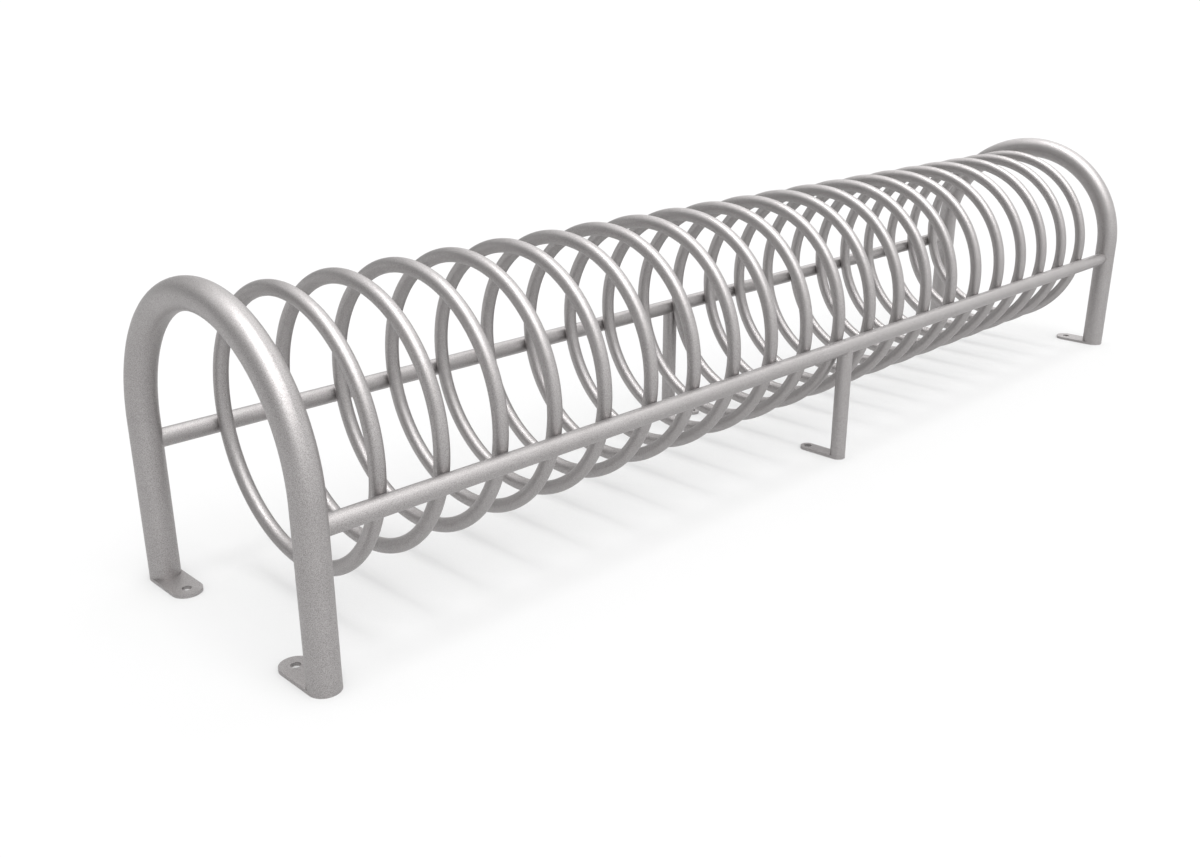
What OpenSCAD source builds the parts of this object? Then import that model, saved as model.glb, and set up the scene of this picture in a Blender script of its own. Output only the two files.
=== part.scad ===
// Ground-fixed bicycle rack, all of welded round tube. Two hoops stand at the ends, two side rails
// run between their legs, and a row of closed rings stands across the rails. A front wheel drops in
// between two rings and rests on the rails. Flat feet take one anchor bolt each.
// Millimetres. The origin is on the ground under the rack's centre. +X runs along the rack, the
// front rail is at -Y, and +Z is up.

/* [End hoops] */
// Distance between the centre lines of the two hoops
rack_len = 2540; // [2300:5:2900]
// Distance between the centre lines of a hoop's two legs
leg_gap = 488.95; // [440:0.05:540]
// Height above the ground at which a hoop's legs turn into its half-round top
hoop_leg_h = 283; // [270:1:340]
// Outside diameter of the hoop tube
hoop_tube_d = 50.8; // [44:0.1:60]
// Wall of the hoop tube
hoop_wall = 3; // [2:0.1:5]

/* [Side rails and middle legs] */
// Height of the rails' centre lines above the ground
rail_h = 245; // [220:1:260]
// How far a rail's centre line lies inside the line of the hoop legs
rail_inset = 1.9; // [0:0.1:6]
// Outside diameter of the tube of the rails and the middle legs
rail_tube_d = 31.75; // [28:0.05:36]
// Wall of the tube of the rails and the middle legs
rail_wall = 2.6; // [1.5:0.1:4]
// How far below a rail's centre line the two horns of a middle leg's saddle are trimmed
horn_trim = 3; // [2:0.5:8]

/* [Rings] */
// Number of rings
ring_count = 21; // [3:2:21]
// Distance along the rack from a hoop's centre line to the nearest ring's
end_gap = 127; // [100:1:160]
// Height of the rings' centres above the ground
ring_h = 293; // [275:1:320]
// Outside diameter of the ring tube
ring_tube_d = 25.4; // [20:0.1:32]
// Wall of the ring tube
ring_wall = 2; // [1.5:0.1:3]
// Depth of the notch with which a ring saddles each rail
ring_notch = 3.5; // [1:0.1:6]

/* [Feet] */
// Thickness of the foot plates
plate_t = 6.35; // [4:0.05:10]
// Distance from a leg's centre line to its bolt hole, towards the rack's middle
bolt_reach = 76.2; // [60:0.1:100]
// Diameter of the bolt holes
bolt_hole_d = 15.9; // [11:0.1:18]

/* [Hidden] */

// Circles are drawn with this many sides
$fn = 96;
// How far a bolt hole's cutter runs past the plate's faces
overrun = 1;

steel = [0.66, 0.65, 0.64];
left = -rack_len / 2;
right = rack_len / 2;
front = -1;
back = 1;
leg_y = leg_gap / 2;
rail_y = leg_y - rail_inset;

// The rings reach into the rails by the depth of their notches
rail_reach = norm([rail_y, ring_h - rail_h]);
ring_r = rail_reach - rail_tube_d / 2 + ring_notch - ring_tube_d / 2;
ring_pitch = (rack_len - 2 * end_gap) / (ring_count - 1);

// The name of a ring's node, counted from the left hoop
function ring_name(i) = str("ring_", i < 10 ? "0" : "", i);

// The cut end of a round tube
module tube_section(tube_d, wall) {
    difference() {
        circle(d = tube_d);
        circle(d = tube_d - 2 * wall);
    }
}

// Carries a round section up one leg of a hoop, over its half-round top and down the other
module along_hoop(x) {
    for (side = [front, back])
        translate([x, side * leg_y, plate_t])
            linear_extrude(height = hoop_leg_h - plate_t)
                children();
    translate([x, 0, hoop_leg_h])
        rotate([90, 0, 90])
            rotate_extrude(angle = 180)
                translate([leg_y, 0])
                    children();
}

// Carries a round section along a rail, from one hoop's centre line to the other's
module along_rail(side) {
    translate([left, side * rail_y, rail_h])
        rotate([0, 90, 0])
            linear_extrude(height = rack_len)
                children();
}

// Carries a round section up a middle leg, from its foot plate to the trimmed horns of its saddle
module along_mid_leg(side) {
    translate([0, side * rail_y, plate_t])
        linear_extrude(height = rail_h - horn_trim - plate_t)
            children();
}

// End hoop: one tube bent into an upside-down U, standing on two foot plates
module hoop(x) {
    color(steel)
        along_hoop(x)
            tube_section(hoop_tube_d, hoop_wall);
}

// Side rail: a straight tube whose ends are coped to fit round the legs of the hoops
module rail(side) {
    color(steel)
        difference() {
            along_rail(side)
                tube_section(rail_tube_d, rail_wall);
            for (x = [left, right])
                along_hoop(x)
                    circle(d = hoop_tube_d);
        }
}

// Middle leg: a short tube with a saddle at its top, in which the rail lies
module mid_leg(side) {
    color(steel)
        difference() {
            along_mid_leg(side)
                tube_section(rail_tube_d, rail_wall);
            along_rail(side)
                circle(d = rail_tube_d);
        }
}

// Ring: a closed round hoop of tube, square to the rails, notched where it meets each of them. The
// middle ring stands over the middle legs, so it is also cut where it meets the tops of these.
module ring(i) {
    color(steel)
        difference() {
            translate([left + end_gap + (i - 1) * ring_pitch, 0, ring_h])
                rotate([0, 90, 0])
                    rotate_extrude()
                        translate([ring_r, 0])
                            tube_section(ring_tube_d, ring_wall);
            for (side = [front, back]) {
                along_rail(side)
                    circle(d = rail_tube_d);
                along_mid_leg(side)
                    circle(d = rail_tube_d);
            }
        }
}

// Foot: a flat plate with round ends, flush with the leg on it and turned towards the rack's middle,
// with its bolt hole on the centre of the inner end
module foot(x, side, line_y, plate_w) {
    color(steel)
        translate([x, side * line_y, 0])
            rotate([0, 0, side == back ? 180 : 0])
                difference() {
                    linear_extrude(height = plate_t) {
                        circle(d = plate_w);
                        translate([-plate_w / 2, 0]) square([plate_w, bolt_reach]);
                        translate([0, bolt_reach]) circle(d = plate_w);
                    }
                    translate([0, bolt_reach, -overrun])
                        cylinder(d = bolt_hole_d, h = plate_t + 2 * overrun);
                }
}

hoop(left);  // hoop_left
hoop(right);  // hoop_right
rail(front);  // rail_front
rail(back);  // rail_back
mid_leg(front);  // mid_leg_front
mid_leg(back);  // mid_leg_back
foot(left, front, leg_y, hoop_tube_d);  // foot_left_front
foot(left, back, leg_y, hoop_tube_d);  // foot_left_back
foot(right, front, leg_y, hoop_tube_d);  // foot_right_front
foot(right, back, leg_y, hoop_tube_d);  // foot_right_back
foot(0, front, rail_y, rail_tube_d);  // foot_mid_front
foot(0, back, rail_y, rail_tube_d);  // foot_mid_back
for (i = [1:ring_count])
    ring(i);
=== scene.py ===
import math

import bpy
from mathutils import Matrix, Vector

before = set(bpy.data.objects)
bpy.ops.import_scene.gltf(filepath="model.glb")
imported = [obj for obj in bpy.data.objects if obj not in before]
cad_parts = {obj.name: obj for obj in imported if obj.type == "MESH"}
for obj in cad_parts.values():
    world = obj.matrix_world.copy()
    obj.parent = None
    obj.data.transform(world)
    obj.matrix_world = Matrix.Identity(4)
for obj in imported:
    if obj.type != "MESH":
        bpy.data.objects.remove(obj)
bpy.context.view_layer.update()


# End hoops
# Two upside-down Us, each bent from one stainless steel tube 50.8 mm across. Their legs are welded
# to the foot plates, and the side rails are coped round the legs and welded to them.

def linear(hex_colour):
    """An sRGB hex colour in Blender's linear light, with full opacity."""
    channels = [int(hex_colour[i : i + 2], 16) / 255 for i in (1, 3, 5)]
    return [c / 12.92 if c <= 0.04045 else ((c + 0.055) / 1.055) ** 2.4 for c in channels] + [1]


def add_node(tree, kind, settings, inputs):
    """Adds a node. An input that is given a socket is linked to it, and any other is set to its value."""
    node = tree.nodes.new(kind)
    for name, value in settings.items():
        setattr(node, name, value)
    for name, value in inputs.items():
        if isinstance(value, bpy.types.NodeSocket):
            tree.links.new(value, node.inputs[name])
        else:
            node.inputs[name].default_value = value
    return node


def blasted_steel(name, smooth, rough):
    """Stainless steel blasted with fine beads: a warm grey without direction, which spreads each
    highlight into a soft band. Some places got more of the blast than others, and are duller."""
    dull, bright = linear("#8d8a89"), linear("#b5b2b2")
    # The pits that the beads leave are 0.2 mm wide. They are drawn 1.2 mm wide, so that they show
    grain_mm = 1.2
    grain_depth_mm = 0.03
    # The blast passed over the steel in sweeps about this wide
    sweep_mm = 70
    grain_share = 0.9
    # The steel is at its dullest where the pattern has the first value, and its brightest at the second
    dull_at, bright_at = 0.3, 0.7

    steel = bpy.data.materials.new(name)
    steel.use_nodes = True
    tree = steel.node_tree
    tree.nodes.clear()
    place = add_node(tree, "ShaderNodeTexCoord", {}, {}).outputs["Object"]
    grain = add_node(
        tree,
        "ShaderNodeTexNoise",
        {},
        {"Vector": place, "Scale": 1000 / grain_mm, "Detail": 1, "Roughness": 0.6},
    ).outputs["Fac"]
    sweep = add_node(
        tree,
        "ShaderNodeTexNoise",
        {},
        {"Vector": place, "Scale": 1000 / sweep_mm, "Detail": 3, "Roughness": 0.5},
    ).outputs["Fac"]
    pattern = add_node(
        tree,
        "ShaderNodeMix",
        {"data_type": "FLOAT"},
        {"Factor": grain_share, "A": sweep, "B": grain},
    ).outputs["Result"]
    shade = add_node(
        tree,
        "ShaderNodeMapRange",
        {},
        {"Value": pattern, "From Min": dull_at, "From Max": bright_at},
    ).outputs["Result"]
    colour = add_node(
        tree,
        "ShaderNodeMix",
        {"data_type": "RGBA"},
        {"Factor": shade, "A": dull, "B": bright},
    ).outputs["Result"]
    roughness = add_node(
        tree,
        "ShaderNodeMapRange",
        {},
        {
            "Value": pattern,
            "From Min": dull_at,
            "From Max": bright_at,
            "To Min": rough,
            "To Max": smooth,
        },
    ).outputs["Result"]
    bump = add_node(
        tree,
        "ShaderNodeBump",
        {},
        {"Height": grain, "Distance": grain_depth_mm / 1000, "Strength": 1},
    ).outputs["Normal"]
    shader = add_node(
        tree,
        "ShaderNodeBsdfPrincipled",
        {},
        {"Base Color": colour, "Metallic": 1, "Roughness": roughness, "Normal": bump},
    ).outputs["BSDF"]
    add_node(tree, "ShaderNodeOutputMaterial", {}, {"Surface": shader})
    return steel


blasted_tube = blasted_steel("blasted_tube_steel", smooth=0.45, rough=0.53)
for name in ("hoop_left", "hoop_right"):
    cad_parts[name].material_slots[0].material = blasted_tube


# Side rails
# Two straight stainless steel tubes 31.75 mm across, which run from hoop to hoop. They carry all
# the rings, and a bicycle's front wheel rests on both.

for name in ("rail_front", "rail_back"):
    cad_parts[name].material_slots[0].material = blasted_tube


# Middle legs
# Two short lengths of the rails' tube that hold the rails up half way along. Each has a saddle cut
# in its top, in which the rail lies, and is welded there and to its foot plate.

for name in ("mid_leg_front", "mid_leg_back"):
    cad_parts[name].material_slots[0].material = blasted_tube


# Rings
# Closed rings of stainless steel tube 25.4 mm across, each bent from one length and welded shut.
# They stand across the rails, notched to saddle them, and a wheel goes in between two of them.

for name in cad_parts:
    if name.startswith("ring_"):
        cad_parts[name].material_slots[0].material = blasted_tube


# Foot plates
# Six flat bars of stainless steel, 6.35 mm thick, with round ends. The leg stands on one end, and
# the other end has the hole for an anchor bolt. They are blasted with the rest of the rack, and
# their rolled faces are a little rougher than the tubes, so that highlights spread a little more.

blasted_plate = blasted_steel("blasted_plate_steel", smooth=0.47, rough=0.55)
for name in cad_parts:
    if name.startswith("foot_"):
        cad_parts[name].material_slots[0].material = blasted_plate


# Studio floor
# A wide, round sheet of matt white board. Its rim curls up far away from the rack and hides the
# horizon. It looks almost white to the camera and in the metal, and keeps the rack's shadow, part of
# which is painted shade.

def board(radii, heights, corners):
    """A round sheet that is flat in the middle, made of rings of corners at each radius and height."""
    spots = [(0, 0, heights[0])]
    for radius, height in zip(radii, heights):
        for k in range(corners):
            turn = 2 * math.pi * k / corners
            spots.append((radius * math.cos(turn), radius * math.sin(turn), height))
    faces = [(0, 1 + k, 1 + (k + 1) % corners) for k in range(corners)]
    for ring in range(len(radii) - 1):
        inner = 1 + ring * corners
        outer = inner + corners
        for k in range(corners):
            after = (k + 1) % corners
            faces.append((inner + k, outer + k, outer + after, inner + after))
    mesh = bpy.data.meshes.new("floor")
    mesh.from_pydata(spots, [], faces)
    mesh.update()
    return mesh


# In metres: where the flat middle ends, half way out along the rim, and at the rim's edge
board_radii = [60, 70, 80]
board_heights = [0, 0.5, 2]
floor = bpy.data.objects.new("floor", board(board_radii, board_heights, corners=96))
bpy.context.scene.collection.objects.link(floor)

# Matt board has no gloss. A share of its look is a plain white, and the rest is lit by the studio,
# which gives the real shadow. The white is painted darker where the rack is nearer than the shade's
# reach: painted shade under and beside the rack.
board_hex = "#bababa"
white_share = 0.6
shade_reach_mm = 120

matt_board = bpy.data.materials.new("matt_board")
matt_board.use_nodes = True
tree = matt_board.node_tree
tree.nodes.clear()
ray = add_node(tree, "ShaderNodeLightPath", {}, {}).outputs
seen = add_node(
    tree,
    "ShaderNodeMath",
    {"operation": "MAXIMUM"},
    {0: ray["Is Camera Ray"], 1: ray["Is Glossy Ray"]},
).outputs[0]
seen = add_node(
    tree,
    "ShaderNodeMath",
    {"operation": "MAXIMUM"},
    {0: seen, 1: ray["Is Transmission Ray"]},
).outputs[0]
# Painted shade: ambient occlusion darkens the plain white share wherever the rack is near
open_sky = add_node(
    tree,
    "ShaderNodeAmbientOcclusion",
    {"samples": 8},
    {"Distance": shade_reach_mm / 1000},
).outputs["AO"]
share = add_node(
    tree,
    "ShaderNodeMath",
    {"operation": "MULTIPLY"},
    {0: open_sky, 1: white_share},
).outputs[0]
share = add_node(
    tree,
    "ShaderNodeMath",
    {"operation": "MULTIPLY"},
    {0: seen, 1: share},
).outputs[0]
lit = add_node(tree, "ShaderNodeBsdfDiffuse", {}, {"Color": linear(board_hex)}).outputs[0]
white = add_node(tree, "ShaderNodeEmission", {}, {"Color": linear("#ffffff"), "Strength": 1}).outputs[0]
mixed = add_node(tree, "ShaderNodeMixShader", {}, {0: share, 1: lit, 2: white}).outputs[0]
add_node(tree, "ShaderNodeOutputMaterial", {}, {"Surface": mixed})
floor.data.materials.append(matt_board)


# Studio light
# Even light from a pale room with white walls. A small, bright box straight above the rack draws the
# streaks below its rings. Boxes in front, to the right and behind model the tubes, and one fills in.

# The walls are white at the horizon and turn to the room's grey at this many degrees above it, so
# that the tops of the tubes keep their contrast
wall_white, room_grey = 0.98, 0.48
grey_from = 10

room = bpy.data.worlds.new("pale_room")
bpy.context.scene.world = room
room.use_nodes = True
tree = room.node_tree
tree.nodes.clear()
outlook = add_node(tree, "ShaderNodeTexCoord", {}, {}).outputs["Generated"]
upwards = add_node(tree, "ShaderNodeSeparateXYZ", {}, {0: outlook}).outputs["Z"]
strength = add_node(
    tree,
    "ShaderNodeMapRange",
    {"interpolation_type": "SMOOTHSTEP"},
    {
        "Value": upwards,
        "From Min": 0,
        "From Max": math.sin(math.radians(grey_from)),
        "To Min": wall_white,
        "To Max": room_grey,
    },
).outputs["Result"]
light = add_node(tree, "ShaderNodeBackground", {}, {"Color": linear("#ffffff"), "Strength": strength})
add_node(tree, "ShaderNodeOutputWorld", {}, {"Surface": light.outputs["Background"]})

# Name, direction, height above the horizon and half of the width, all three in degrees, and
# brightness, where 1 is white. Direction 0 is the rack's right end, and 90 is its back
SOFT_BOXES = [
    ("box_above", 0, 90, 8, 22),
    ("box_front", -105, 60, 25, 4),
    ("box_right", 30, 45, 30, 1.3),
    ("box_back", 120, 60, 25, 1.15),
    ("box_fill", -63, 0, 74, 0.83),
]
for name, azimuth, elevation, half_width, brightness in SOFT_BOXES:
    lamp = bpy.data.lights.new(name, "SUN")
    lamp.angle = math.radians(2 * half_width)
    lamp.energy = brightness * math.pi * math.sin(math.radians(half_width)) ** 2
    turn, rise = math.radians(azimuth), math.radians(elevation)
    reach = math.cos(rise)
    towards = Vector((reach * math.cos(turn), reach * math.sin(turn), math.sin(rise)))
    box = bpy.data.objects.new(name, lamp)
    box.rotation_euler = (-towards).to_track_quat("-Z", "Y").to_euler()
    bpy.context.scene.collection.objects.link(box)


# Camera
# It stands off the rack's left end and in front of it, 0.91 m up. It looks towards the back right,
# at 45 degrees to the rack's length, and 20 degrees down.

camera_place = (-2.0025, -1.5273, 0.9109)
look_azimuth = 45
look_down = 20

lens = bpy.data.cameras.new("camera")
lens.lens = 35
lens.sensor_width = 36
lens.clip_end = 500
camera = bpy.data.objects.new("camera", lens)
camera.location = camera_place
camera.rotation_euler = (math.radians(90 - look_down), 0, math.radians(look_azimuth - 90))
bpy.context.scene.collection.objects.link(camera)
bpy.context.scene.camera = camera

bpy.context.scene.view_settings.view_transform = "Standard"
